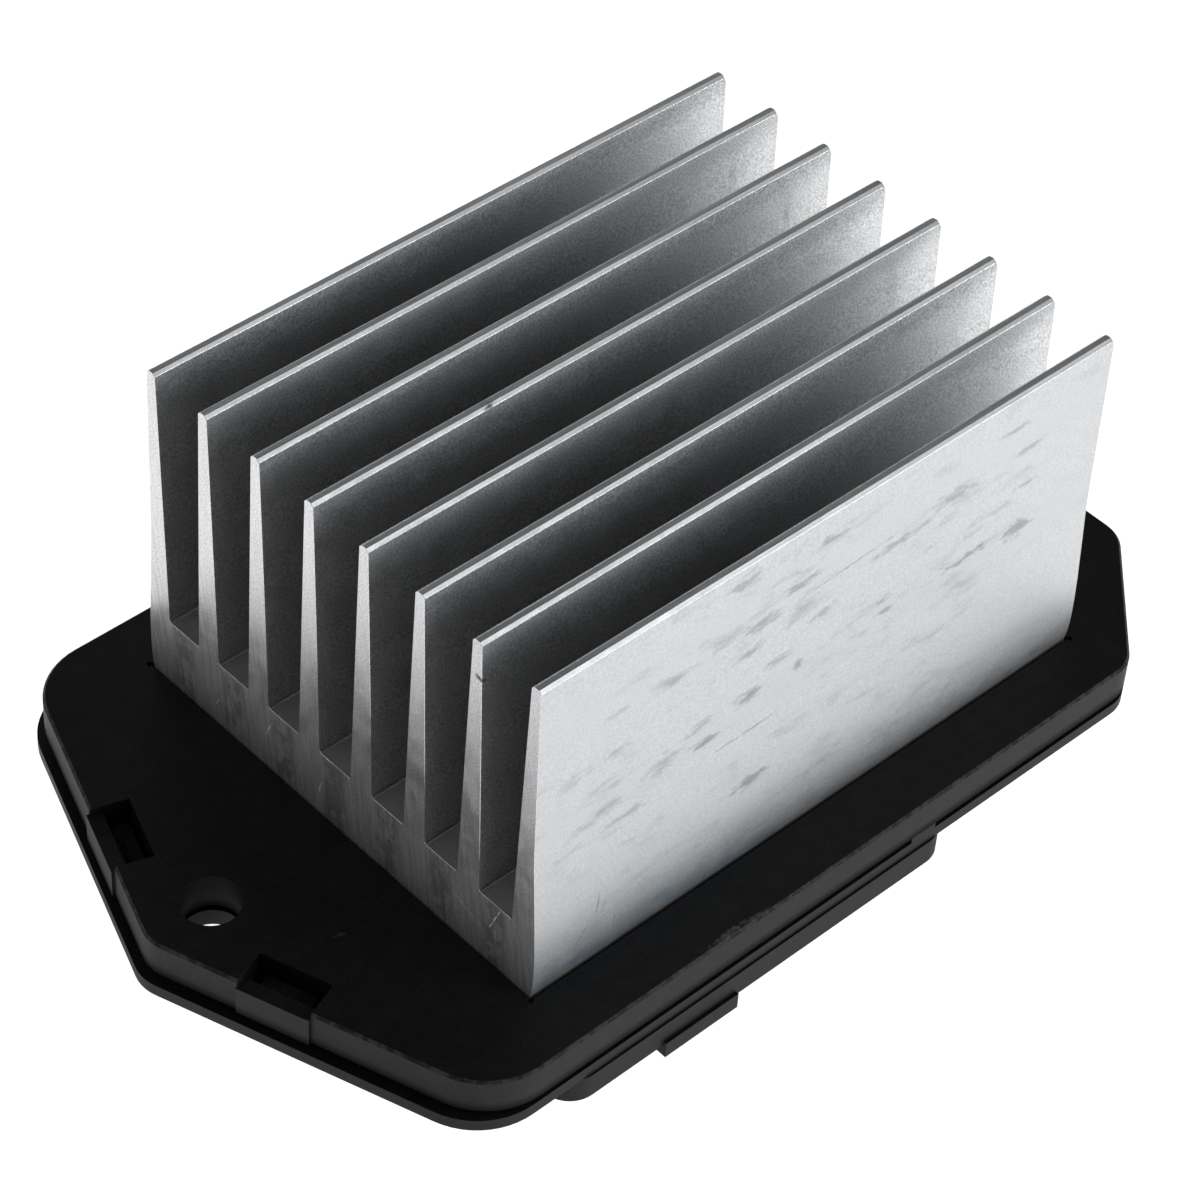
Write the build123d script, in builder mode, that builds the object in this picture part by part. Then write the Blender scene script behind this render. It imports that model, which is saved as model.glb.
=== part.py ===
from build123d import *
from math import cos, radians, sin, tan
import os

os.makedirs("parts", exist_ok=True)

# A blower motor resistor, in millimetres. The origin lies midway between the two mounting
# holes, on the face of the plate that seats against the air duct. X runs along the fins
# from the pointed end of the plate to its flat end, and Z points up through the fins.

# Extruded heat sink
fin_count = 8
fin_pitch = 6.85
fin_root = 2.8
fin_tip = 1.1
fin_top = 35.6
fin_tip_chamfer = 0.3
channel_floor = 7.4
channel_round = 0.25
sink_length = 66.2
sink_sunk = 1.2
flank_reach = 0.8
flank_bend = 20.0
swell_reach = 1.5
swell_height = 3.8
foot_reach = 1.2
foot_lean = 0.25

# Mounting plate, the upper half of the casing
plate_margin = 6.3
near_gap = 13.6
far_gap = 7.4
near_tip_past_hole = 6.85
far_end_past_hole = 7.1
near_slant = 19.7
far_chamfer = 12.4
near_tip_round = 4.0
near_corner_round = 7.2
far_corner_round = 4.0
plate_height = 3.7
plate_wall = 1.9
rim_wall = 1.8
rim_edge_chamfer = 0.25
sink_clearance = 0.2
flank_clearance = 0.1
sink_wall = 1.5
sink_ledge = 3.85
corner_relief = 0.25
gasket_thickness = 0.5
gasket_width = 2.4
hole_radius = 2.75
hole_boss = 5.6
rib_width = 1.2
near_rib_length = 38.0

# Latches that hold the two halves together
latch_width = 2.5
latch_length = 7.1
latch_inset = 2.4
latch_from_tip = 12.35
far_latch_offset = 10.5
latch_bar_drop = 0.6
latch_bar_proud = 0.3
catch_depth = 0.8
catch_height = 0.8
hook_gap = 0.15
hook_thickness = 1.1
hook_length = 5.0
hook_nose = 0.95

# Rear housing, the lower half of the casing
casing_gap = 0.6
flange_thickness = 1.25
flange_reach = 0.8
hole_pad = 0.6
lug_length = 3.0
lug_width = 1.6
lug_from_tray_end = 3.8
guide_length = 12.0
guide_width = 1.2
guide_height = 1.9
tray_length = 46.6
tray_lead = 1.3
tray_proud = 0.2
tray_depth = 3.1
tray_round = 3.0
tray_edge_chamfer = 0.4
tray_wall = 1.6
lip_start = 11.2
lip_length = 8.6
lip_proud = 0.35
lip_thickness = 0.9
well_step = 1.6
well_length_step = 2.4
well_width = 31.2
well_depth = 7.6
well_round = 2.0
well_wall = 1.6
flange_rib_height = 1.6
flange_rib_count = 3
flange_rib_spacing = 14.0

# Connector sockets under the well
socket_depth = 9.3
socket_width = 13.2
socket_wall = 1.3
socket_spacing = 15.8
socket_round = 1.6
socket_end_step = 1.0
motor_socket_length = 22.0
supply_socket_length = 36.5
ramp_length = 5.0
ramp_height = 1.2
ramp_rise = 3.0

# Screws that clamp housing, plate and heat sink
screw_radius = 1.5
screw_grip = 5.2
screw_inset = 5.0
screw_head_radius = 2.9
screw_head_height = 2.0
thread_clearance = 0.05
passage_clearance = 0.25
screw_boss = 8.0
screw_well_clearance = 0.9
screw_tip_space = 0.8
recess_width = 0.8
recess_length = 3.2
recess_depth = 1.1

# Circuit board
board_thickness = 1.6
board_clearance = 0.3
board_post_height = 2.5
board_post_width = 5.2
board_screw_radius = 1.1
board_screw_grip = 2.0
board_screw_head = 2.1
board_screw_inset = 2.6
lead_hole_clearance = 0.2

# Power transistor on the underside of the heat sink
transistor_width = 15.9
transistor_length = 20.8
transistor_thickness = 5.0
transistor_tab = 2.0
transistor_draft = 1
transistor_hole = 1.8
transistor_hole_inset = 6.2
transistor_offset = 2.2
lead_width = 1.2
lead_thickness = 0.6
lead_pitch = 5.45
lead_reach = 3.0
lead_drop = 2.2
lead_tail = 0.9
pad_thickness = 0.3
pad_margin = 1.0
washer_thickness = 0.5
washer_radius = 3.2
transistor_screw_grip = 4.5

# Terminals
blade_width = 6.3
blade_thickness = 0.8
blade_short_of_mouth = 2.0
tail_width = 3.0
tail_height = 0.8
pin_width = 1.5
motor_blade_pitch = 9.5
pin_pitch = 5.0
pin_from_blade = 8.5
tip_chamfer = 0.35

# Small parts on the board: from its near end, from its long edges or from the transistor
capacitor_gap = 0.6
capacitor_from_edge = 9.5
fuse_from_end = 12.2
fuse_from_edge = 2.5
shunt_from_end = 13.7
shunt_from_edge = 1.9
chip_from_end = 7.4
chip_y = -3.9
diode_from_transistor = 2.6
diode_y = -2.5
small_from_end = 16.2
small_y = -3.4
capacitor_radius = 4.0
capacitor_length = 11.5
capacitor_groove = 0.5
fuse_radius = 1.9
fuse_length = 9.0
wire_size = 0.7
wire_reach = 1.6
shunt_length = 11.0
shunt_width = 3.0
shunt_height = 3.2
shunt_thickness = 0.7
chip_length = 4.9
chip_width = 3.9
chip_height = 1.5
chip_leg = 1.0
diode_length = 6.9
diode_width = 5.9
diode_height = 2.3
diode_draft = 3
chip_leg_pitch = 1.27
chip_leg_width = 0.45
small_width = 1.25
small_length = 2.0
small_height = 0.9
chip_resistor_width = 0.9
chip_resistor_length = 1.6
small_row = 3.0
chip_pitch = 2.2
small_clearance = 0.1

# Levels and places worked out from the sizes above
fin_centres = [fin_pitch * (i - (fin_count - 1) / 2) for i in range(fin_count)]
outer_fin = fin_centres[-1]
foot_half = outer_fin + foot_reach
half_width = outer_fin + swell_reach + plate_margin - (swell_reach - foot_reach)
hole_x = (near_gap + sink_length + far_gap) / 2
sink_start = near_gap - hole_x
sink_middle = sink_start + sink_length / 2
near_tip = -hole_x - near_tip_past_hole
far_end = hole_x + far_end_past_hole
ledge_top = -(sink_sunk + gasket_thickness)
flange_top = -(plate_height + casing_gap)
flange_bottom = flange_top - flange_thickness
tray_start = sink_start - tray_lead
tray_middle = tray_start + tray_length / 2
tray_bottom = flange_bottom - tray_depth
tray_half_width = half_width + tray_proud
well_length = tray_length - 2 * well_length_step
well_bottom = tray_bottom - well_depth
well_floor = well_bottom + well_wall
well_inner_round = well_round - well_wall / 2
well_far = tray_middle + well_length / 2
mouth = well_bottom - socket_depth
board_bottom = well_floor + board_post_height
board_top = board_bottom + board_thickness
board_length = well_length - 2 * (well_wall + board_clearance)
board_width = well_width - 2 * (well_wall + board_clearance)
pocket_length = sink_length + 2 * sink_clearance
pocket_width = 2 * (outer_fin + swell_reach + flank_clearance)
opening_length = pocket_length - 2 * sink_ledge
opening_width = pocket_width - 2 * sink_ledge
screw_x = sink_length / 2 - screw_inset
screw_y = foot_half - screw_inset
screw_places = [(sink_middle + a * screw_x, b * screw_y) for a in (-1, 1) for b in (-1, 1)]
near_screws = [p for p in screw_places if p[0] < sink_middle]
post_radius = screw_head_radius + screw_well_clearance + tray_wall
transistor_top = -sink_sunk - pad_thickness
transistor_hole_y = transistor_offset + transistor_length / 2 - transistor_hole_inset
socket_far = well_far - socket_end_step
motor_socket_x = socket_far - motor_socket_length / 2
supply_socket_x = socket_far - supply_socket_length / 2
socket_y = socket_spacing / 2
socket_inner_width = socket_width - 2 * socket_wall
socket_inner_round = socket_round - socket_wall / 2
transistor_x = motor_socket_x
blade_far_x = motor_socket_x + motor_blade_pitch / 2
blade_near_x = motor_socket_x - motor_blade_pitch / 2
pin_far_x = blade_near_x - pin_from_blade
pin_near_x = pin_far_x - pin_pitch
lead_y = transistor_offset - transistor_length / 2 - lead_reach
lead_level = transistor_top - lead_drop
board_near = tray_middle - board_length / 2
capacitor_x = transistor_x - transistor_width / 2 - capacitor_gap - capacitor_length / 2
capacitor_y = board_width / 2 - capacitor_from_edge
fuse_x = board_near + fuse_from_end
fuse_y = board_width / 2 - fuse_from_edge
shunt_x = board_near + shunt_from_end
shunt_y = shunt_from_edge - board_width / 2
chip_x = board_near + chip_from_end
diode_x = transistor_x + diode_from_transistor
small_x = board_near + small_from_end
board_screw_places = [
    (board_near + board_screw_inset, board_width / 2 - board_screw_inset),
    (board_near + board_screw_inset, board_screw_inset - board_width / 2),
]


def latch_place(side):
    """Place of a latch on a slanting near edge: its X axis points outwards."""
    along = latch_from_tip
    foot = (near_tip + along * sin(radians(near_slant)), side * along * cos(radians(near_slant)))
    angle = 180 - side * near_slant
    x = foot[0] - latch_inset * cos(radians(angle))
    y = foot[1] - latch_inset * sin(radians(angle))
    return Location((x, y, 0), (0, 0, angle))


near_latches = [latch_place(1), latch_place(-1)]
far_latches = [Location((far_end - latch_inset, side * far_latch_offset, 0)) for side in (1, -1)]
latches = near_latches + far_latches


def plate_outline(reach):
    """Outline of the plate, with its slanting near edges moved outwards by reach."""
    tip = near_tip - reach / cos(radians(near_slant))
    corner = tip + half_width * tan(radians(near_slant))
    flat = half_width - far_chamfer
    with BuildLine() as edge:
        FilletPolyline(
            (tip, 0),
            (corner, -half_width),
            (far_end - far_chamfer, -half_width),
            (far_end, -flat),
            (far_end, flat),
            (far_end - far_chamfer, half_width),
            (corner, half_width),
            radius=[near_tip_round, near_corner_round] + [far_corner_round] * 4 + [near_corner_round],
            close=True,
        )
    make_face(edge.edges())


def screw_body(radius, head_radius, head_height, seat, tip):
    """A pan-head screw that points up: its head hangs below the seat."""
    with BuildSketch(Plane.XZ) as half:
        with BuildLine():
            Polyline(
                (0, seat - head_height),
                (head_radius, seat - head_height),
                (head_radius, seat),
                (radius, seat),
                (radius, tip),
                (0, tip),
                close=True,
            )
        make_face()
    revolve(half.sketch, axis=Axis.Z)


def bent_leg(plane, root, foot, level, floor, thickness, width):
    """A leg that leaves its body at one level and turns down at foot to the floor."""
    half = thickness / 2 if foot > root else -thickness / 2
    with BuildSketch(plane) as leg:
        with BuildLine():
            Polyline(
                (root, level - thickness / 2),
                (foot - half, level - thickness / 2),
                (foot - half, floor),
                (foot + half, floor),
                (foot + half, level),
                (foot, level + thickness / 2),
                (root, level + thickness / 2),
                close=True,
            )
        make_face()
    extrude(leg.sketch, amount=width / 2, both=True)


def cross_recess(seat, head_height):
    """The driver recess in the underside of a screw's head."""
    with BuildSketch(Plane.XY.offset(seat - head_height)) as cross:
        Rectangle(recess_length, recess_width)
        Rectangle(recess_width, recess_length)
    extrude(cross.sketch, amount=recess_depth, mode=Mode.SUBTRACT)


# Heat sink: one extrusion with tapered fins, cut to length
with BuildPart() as heat_sink:
    with BuildSketch(Plane.YZ.offset(sink_start)) as profile:
        with BuildLine():
            side = Line((outer_fin + fin_tip / 2, fin_top), (outer_fin + flank_reach, flank_bend))
            swell = Spline(
                side @ 1,
                (outer_fin + swell_reach, swell_height),
                (foot_half, 0),
                tangents=[(0, -1), (-foot_lean, -1)],
            )
            foot = Line(swell @ 1, (foot_half, -sink_sunk))
            mirror(about=Plane.YZ)
            Line((-outer_fin - fin_tip / 2, fin_top), side @ 0)
            Line((-foot_half, -sink_sunk), foot @ 1)
        make_face()
        with Locations([(y + fin_pitch / 2, 0) for y in fin_centres[:-1]]):
            Polygon(
                (-(fin_pitch - fin_root) / 2, channel_floor),
                ((fin_pitch - fin_root) / 2, channel_floor),
                ((fin_pitch - fin_tip) / 2, fin_top),
                (-(fin_pitch - fin_tip) / 2, fin_top),
                align=None,
                mode=Mode.SUBTRACT,
            )
        chamfer(profile.vertices().group_by(Axis.Y)[-1], fin_tip_chamfer)
        fillet(
            profile.vertices().filter_by(lambda corner: abs(corner.Y - channel_floor) < channel_round),
            channel_round,
        )
    extrude(amount=sink_length)
    with BuildSketch(Plane.XY.offset(-sink_sunk)):
        with Locations(*screw_places):
            Circle(screw_radius + thread_clearance)
    extrude(amount=screw_grip + screw_tip_space, mode=Mode.SUBTRACT)
    with BuildSketch(Plane.XY.offset(-sink_sunk)):
        with Locations((transistor_x, transistor_hole_y)):
            Circle(screw_radius + thread_clearance)
    extrude(amount=transistor_screw_grip + screw_tip_space, mode=Mode.SUBTRACT)

heat_sink.part.label = "heat_sink"
export_step(heat_sink.part, "parts/heat_sink.step")


# Mounting plate with a hollow underside, a sunk window for the heat sink and latch windows
with BuildPart() as mounting_frame:
    with BuildSketch(Plane.XY.offset(-plate_height)):
        plate_outline(0)
    extrude(amount=plate_height)
    chamfer(mounting_frame.faces().sort_by(Axis.Z)[-1].edges(), rim_edge_chamfer)
    bar_span = latch_inset + latch_bar_proud - latch_width / 2
    with BuildSketch(Plane.XY.offset(-plate_height)):
        with Locations(*near_latches):
            with Locations((latch_width / 2 + bar_span / 2, 0)):
                Rectangle(bar_span, latch_length)
    extrude(amount=plate_height - latch_bar_drop)
    with BuildSketch(Plane.XY.offset(-plate_height)):
        plate_outline(0)
        offset(amount=-rim_wall)
        with Locations((sink_middle, 0)):
            Rectangle(pocket_length + 2 * sink_wall, pocket_width + 2 * sink_wall, mode=Mode.SUBTRACT)
        with Locations((-hole_x, 0), (hole_x, 0)):
            Circle(hole_boss, mode=Mode.SUBTRACT)
        with Locations(*latches):
            Rectangle(latch_width + 2 * rim_wall, latch_length + 2 * rim_wall, mode=Mode.SUBTRACT)
        with Locations((-hole_x, 0)):
            Rectangle(2 * near_gap, rib_width, mode=Mode.SUBTRACT)
            Rectangle(rib_width, near_rib_length, mode=Mode.SUBTRACT)
    extrude(amount=plate_height - plate_wall, mode=Mode.SUBTRACT)
    with BuildSketch():
        with Locations((sink_middle, 0)):
            Rectangle(pocket_length, pocket_width)
            with GridLocations(pocket_length, pocket_width, 2, 2):
                Rectangle(2 * corner_relief, 2 * corner_relief)
    extrude(amount=ledge_top, mode=Mode.SUBTRACT)
    with BuildSketch():
        with Locations((sink_middle, 0)):
            Rectangle(opening_length, opening_width)
        with Locations(*screw_places):
            Rectangle(screw_boss, screw_boss, mode=Mode.SUBTRACT)
    extrude(amount=-plate_height, mode=Mode.SUBTRACT)
    with BuildSketch():
        with Locations(*latches):
            Rectangle(latch_width, latch_length)
        with Locations(*latches):
            with Locations((latch_width, 0)):
                Rectangle(latch_width, latch_length)
    extrude(amount=-latch_bar_drop, mode=Mode.SUBTRACT)
    with BuildSketch():
        with Locations(*latches):
            Rectangle(latch_width, latch_length)
    extrude(amount=-plate_height, mode=Mode.SUBTRACT)
    with BuildSketch(Plane.XY.offset(-plate_height)):
        with Locations(*latches):
            with Locations(((latch_width - catch_depth) / 2, 0)):
                Rectangle(catch_depth, latch_length)
    extrude(amount=catch_height)
    with Locations((-hole_x, 0), (hole_x, 0)):
        Hole(hole_radius)
    with Locations(*screw_places):
        Hole(screw_radius + passage_clearance)

mounting_frame.part.label = "mounting_frame"
export_step(mounting_frame.part, "parts/mounting_frame.step")


# Rear housing: flange, shallow tray, deeper well and two connector sockets in one moulding
with BuildPart() as rear_housing:
    with BuildSketch(Plane.XY.offset(tray_bottom)):
        with Locations((tray_middle, 0)):
            RectangleRounded(tray_length, 2 * tray_half_width, tray_round)
    extrude(amount=tray_depth)
    chamfer(rear_housing.faces().sort_by(Axis.Z)[0].edges(), tray_edge_chamfer)
    with BuildSketch(Plane.XY.offset(flange_bottom)):
        plate_outline(flange_reach)
    extrude(amount=flange_thickness)
    with BuildSketch(Plane.XY.offset(tray_bottom - lip_thickness)):
        with Locations((tray_start + lip_start + lip_length / 2, -tray_half_width + tray_wall / 2)):
            Rectangle(lip_length, tray_wall + 2 * lip_proud)
    extrude(amount=2 * lip_thickness)
    with BuildSketch(Plane.XY.offset(well_bottom)):
        with Locations((tray_middle, 0)):
            RectangleRounded(well_length, well_width, well_round)
    extrude(amount=well_depth)
    with BuildSketch(Plane.XY.offset(mouth)):
        with Locations((motor_socket_x, socket_y)):
            RectangleRounded(motor_socket_length, socket_width, socket_round)
        with Locations((supply_socket_x, -socket_y)):
            RectangleRounded(supply_socket_length, socket_width, socket_round)
    extrude(amount=socket_depth)
    with BuildSketch(Plane.XY.offset(flange_bottom - hole_pad)):
        with Locations((-hole_x, 0), (hole_x, 0)):
            Circle(hole_boss)
    extrude(amount=hole_pad)
    # hollow of the tray, around the wells for the two near screws
    tray_floor = tray_bottom + tray_wall
    with BuildSketch(Plane.XY.offset(tray_floor)):
        with Locations((tray_middle, 0)):
            RectangleRounded(
                tray_length - 2 * tray_wall, 2 * (half_width - rim_wall - tray_wall), tray_round - tray_wall
            )
        with Locations(*near_screws):
            Circle(post_radius, mode=Mode.SUBTRACT)
    extrude(amount=flange_top - tray_floor, mode=Mode.SUBTRACT)
    with BuildSketch(Plane.XY.offset(well_floor)):
        with Locations((tray_middle, 0)):
            RectangleRounded(well_length - 2 * well_wall, well_width - 2 * well_wall, well_inner_round)
    extrude(amount=tray_floor - well_floor, mode=Mode.SUBTRACT)
    # posts under the heat sink's screws, up to the plate's ledge
    with BuildSketch(Plane.XY.offset(flange_top)):
        with Locations(*screw_places):
            Rectangle(screw_boss, screw_boss)
    extrude(amount=casing_gap)
    with BuildSketch(Plane.XY.offset(tray_bottom)):
        with Locations(*near_screws):
            Circle(screw_head_radius + screw_well_clearance)
    extrude(amount=tray_depth, mode=Mode.SUBTRACT)
    with Locations(*[(x, y, -plate_height) for x, y in screw_places]):
        Hole(screw_radius + passage_clearance, depth=flange_thickness + casing_gap + 1)
    # posts under the circuit board
    with BuildSketch(Plane.XY.offset(well_floor)):
        with Locations(*board_screw_places):
            Rectangle(board_post_width, board_post_width)
    extrude(amount=board_post_height)
    with BuildSketch(Plane.XY.offset(board_bottom)):
        with Locations(*board_screw_places):
            Circle(board_screw_radius + thread_clearance)
    extrude(amount=-board_screw_grip - thread_clearance, mode=Mode.SUBTRACT)
    # lugs that hold the rims of the two halves apart
    lug_x = tray_start + tray_length - lug_from_tray_end
    with BuildSketch(Plane.XY.offset(flange_top)):
        with Locations((lug_x, half_width - lug_width / 2), (lug_x, lug_width / 2 - half_width)):
            Rectangle(lug_length, lug_width)
    extrude(amount=casing_gap)
    # guide ribs inside the plate's rim
    guide_y = half_width - rim_wall - sink_clearance - guide_width / 2
    with BuildSketch(Plane.XY.offset(flange_top)):
        with Locations((sink_middle, 0)):
            with GridLocations(sink_length / 2, 2 * guide_y, 2, 2):
                Rectangle(guide_length, guide_width)
    extrude(amount=casing_gap + guide_height - sink_clearance)
    # stiffening ribs under the flange beyond the tray
    rib_start = tray_start + tray_length
    rib_end = far_end - far_chamfer
    with BuildSketch(Plane.XY.offset(flange_bottom - flange_rib_height)):
        with Locations(((rib_start + rib_end) / 2, 0)):
            with GridLocations(1, flange_rib_spacing, 1, flange_rib_count):
                Rectangle(rib_end - rib_start, rib_width)
    extrude(amount=flange_rib_height)
    # hooks that rise into the latch windows
    hook_inner = latch_width / 2 - catch_depth - hook_gap
    catch_top = -plate_height + catch_height
    for place in latches:
        outward = Plane(place).x_dir
        upright = Plane(origin=place.position, x_dir=outward, z_dir=outward.cross(Vector(0, 0, 1)))
        with BuildSketch(upright):
            Polygon(
                (hook_inner - hook_thickness, flange_top),
                (hook_inner, flange_top),
                (hook_inner, catch_top + hook_gap),
                (hook_inner + hook_nose, catch_top + hook_gap),
                (hook_inner, catch_top + hook_gap + hook_nose),
                (hook_inner - hook_thickness, catch_top + hook_gap + hook_nose),
                align=None,
            )
        extrude(amount=hook_length / 2, both=True)
    # socket cavities, terminal slots and locking ramps
    with BuildSketch(Plane.XY.offset(mouth)):
        with Locations((motor_socket_x, socket_y)):
            RectangleRounded(motor_socket_length - 2 * socket_wall, socket_inner_width, socket_inner_round)
        with Locations((supply_socket_x, -socket_y)):
            RectangleRounded(supply_socket_length - 2 * socket_wall, socket_inner_width, socket_inner_round)
    extrude(amount=socket_depth, mode=Mode.SUBTRACT)
    with BuildSketch(Plane.XY.offset(well_bottom)):
        with Locations((blade_near_x, socket_y), (blade_far_x, socket_y)):
            Rectangle(blade_width + small_clearance, blade_thickness + small_clearance)
        with Locations((blade_near_x, -socket_y), (blade_far_x, -socket_y)):
            Rectangle(blade_width + small_clearance, blade_thickness + small_clearance)
        with Locations((pin_near_x, -socket_y), (pin_far_x, -socket_y)):
            Rectangle(pin_width + small_clearance, blade_thickness + small_clearance)
    extrude(amount=well_wall, mode=Mode.SUBTRACT)
    ramp_foot = mouth + ramp_rise
    for x, side in ((motor_socket_x, 1), (supply_socket_x, -1)):
        face_y = side * (socket_y + socket_width / 2)
        with BuildSketch(Plane.YZ.offset(x)):
            Polygon(
                (face_y - side * socket_wall / 2, mouth + ramp_height),
                (face_y, mouth + ramp_height),
                (face_y + side * ramp_height, ramp_foot + ramp_height),
                (face_y - side * socket_wall / 2, ramp_foot + ramp_height),
                align=None,
            )
        extrude(amount=ramp_length / 2, both=True)
    with Locations((-hole_x, 0, flange_top), (hole_x, 0, flange_top)):
        Hole(hole_radius, depth=flange_thickness + hole_pad)

rear_housing.part.label = "rear_housing"
export_step(rear_housing.part, "parts/rear_housing.step")


# Flat gasket between the heat sink and the plate's ledge
with BuildPart() as sealing_gasket:
    with BuildSketch(Plane.XY.offset(ledge_top)):
        with Locations((sink_middle, 0)):
            Rectangle(sink_length, 2 * foot_half)
            Rectangle(sink_length - 2 * gasket_width, 2 * (foot_half - gasket_width), mode=Mode.SUBTRACT)
    extrude(amount=gasket_thickness)

sealing_gasket.part.label = "sealing_gasket"
export_step(sealing_gasket.part, "parts/sealing_gasket.step")


# Screws from below through the flange and the plate's ledge into the heat sink
with BuildPart() as sink_screw:
    screw_body(screw_radius, screw_head_radius, screw_head_height, flange_bottom, screw_grip - sink_sunk)
    cross_recess(flange_bottom, screw_head_height)

with BuildPart() as housing_screws:
    with Locations(*screw_places):
        add(sink_screw.part)

housing_screws.part.label = "housing_screws"
export_step(housing_screws.part, "parts/housing_screws.step")


# Circuit board, with holes for every lead, tail and screw
lead_places = [(transistor_x + i * lead_pitch, lead_y) for i in (-1, 0, 1)]
tail_places = [(x, side * socket_y) for x in (blade_near_x, blade_far_x) for side in (1, -1)]
pin_places = [(pin_near_x, -socket_y), (pin_far_x, -socket_y)]
with BuildPart() as circuit_board:
    with BuildSketch(Plane.XY.offset(board_bottom)):
        with Locations((tray_middle, 0)):
            RectangleRounded(board_length, board_width, well_inner_round)
        with Locations((transistor_x, transistor_hole_y)):
            Circle(screw_head_radius, mode=Mode.SUBTRACT)
        with Locations(*board_screw_places):
            Circle(board_screw_radius + lead_hole_clearance, mode=Mode.SUBTRACT)
        with Locations(*lead_places):
            Rectangle(
                lead_width + lead_hole_clearance, lead_thickness + lead_hole_clearance, mode=Mode.SUBTRACT
            )
        with Locations(*tail_places):
            Rectangle(
                tail_width + lead_hole_clearance, blade_thickness + lead_hole_clearance, mode=Mode.SUBTRACT
            )
        with Locations(*pin_places):
            Rectangle(
                pin_width + lead_hole_clearance, blade_thickness + lead_hole_clearance, mode=Mode.SUBTRACT
            )
    extrude(amount=board_thickness)

circuit_board.part.label = "circuit_board"
export_step(circuit_board.part, "parts/circuit_board.step")


with BuildPart() as board_screw:
    board_screw_length = board_thickness + board_screw_grip
    screw_body(board_screw_radius, board_screw_head, board_screw_radius, 0, board_screw_length)

with BuildPart() as board_screws:
    with Locations(*[Location((x, y, board_top), (180, 0, 0)) for x, y in board_screw_places]):
        add(board_screw.part)

board_screws.part.label = "board_screws"
export_step(board_screws.part, "parts/board_screws.step")


# Power transistor: moulded body, with its copper tab and three bent leads as one lead frame
body_y = transistor_offset
body_near = body_y - transistor_length / 2
with BuildPart() as transistor_lead_frame:
    with BuildSketch(Plane.XY.offset(transistor_top)):
        with Locations((transistor_x, body_y + lead_reach / 2)):
            Rectangle(transistor_width - 2 * pad_margin, transistor_length - lead_reach)
        with Locations((transistor_x, transistor_hole_y)):
            Circle(transistor_hole, mode=Mode.SUBTRACT)
    extrude(amount=-transistor_tab)
    for x, _ in lead_places:
        lead_start = body_near + (2 * lead_reach if x == transistor_x else lead_reach / 2)
        lead_plane = Plane.YZ.offset(x)
        lead_end = board_bottom - lead_tail
        bent_leg(lead_plane, lead_start, lead_y, lead_level, lead_end, lead_thickness, lead_width)

transistor_lead_frame.part.label = "transistor_lead_frame"
export_step(transistor_lead_frame.part, "parts/transistor_lead_frame.step")

with BuildPart() as power_transistor:
    with BuildSketch(Plane.XY.offset(transistor_top - transistor_thickness)):
        with Locations((transistor_x, body_y)):
            Rectangle(transistor_width, transistor_length)
    extrude(amount=transistor_thickness, taper=transistor_draft)
    chamfer(power_transistor.faces().sort_by(Axis.Z)[0].edges(), tip_chamfer)
    with Locations((transistor_x, transistor_hole_y, transistor_top)):
        Hole(transistor_hole)
    add(transistor_lead_frame.part, mode=Mode.SUBTRACT)

power_transistor.part.label = "power_transistor"
export_step(power_transistor.part, "parts/power_transistor.step")

with BuildPart() as insulating_pad:
    with BuildSketch(Plane.XY.offset(transistor_top)):
        with Locations((transistor_x, body_y)):
            Rectangle(transistor_width + 2 * pad_margin, transistor_length + pad_margin)
        with Locations((transistor_x, transistor_hole_y)):
            Circle(transistor_hole, mode=Mode.SUBTRACT)
    extrude(amount=pad_thickness)

insulating_pad.part.label = "insulating_pad"
export_step(insulating_pad.part, "parts/insulating_pad.step")

washer_level = transistor_top - transistor_thickness - washer_thickness
with BuildPart() as lock_washer:
    with BuildSketch(Plane.XY.offset(washer_level)):
        with Locations((transistor_x, transistor_hole_y)):
            Circle(washer_radius)
            Circle(screw_radius + passage_clearance, mode=Mode.SUBTRACT)
    extrude(amount=washer_thickness)

lock_washer.part.label = "lock_washer"
export_step(lock_washer.part, "parts/lock_washer.step")

with BuildPart() as tab_screw:
    screw_body(
        screw_radius, screw_head_radius, screw_head_height, washer_level, transistor_screw_grip - sink_sunk
    )
    cross_recess(washer_level, screw_head_height)

with BuildPart() as transistor_screw:
    with Locations((transistor_x, transistor_hole_y)):
        add(tab_screw.part)

transistor_screw.part.label = "transistor_screw"
export_step(transistor_screw.part, "parts/transistor_screw.step")


# Terminals: each stands on the socket's floor, its tail through the board
terminals = {
    "motor_blade_near": (blade_near_x, socket_y, blade_width, tail_width),
    "motor_blade_far": (blade_far_x, socket_y, blade_width, tail_width),
    "supply_blade": (blade_far_x, -socket_y, blade_width, tail_width),
    "ground_blade": (blade_near_x, -socket_y, blade_width, tail_width),
    "signal_pin": (pin_far_x, -socket_y, pin_width, pin_width),
    "sense_pin": (pin_near_x, -socket_y, pin_width, pin_width),
}
for name, (x, y, width, tail) in terminals.items():
    tip = mouth + blade_short_of_mouth
    with BuildPart() as terminal:
        with BuildSketch(Plane.XZ.offset(-y)) as outline:
            with Locations((x, tip)):
                Rectangle(width, board_bottom - tip, align=(Align.CENTER, Align.MIN))
            chamfer(outline.vertices().group_by(Axis.Y)[0], tip_chamfer)
            with Locations((x, board_bottom)):
                Rectangle(tail, board_thickness + tail_height, align=(Align.CENTER, Align.MIN))
        extrude(amount=blade_thickness / 2, both=True)
        chamfer(terminal.faces().sort_by(Axis.Z)[0].edges().filter_by(Axis.X), blade_thickness / 4)
    terminal.part.label = name
    export_step(terminal.part, f"parts/{name}.step")


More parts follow.
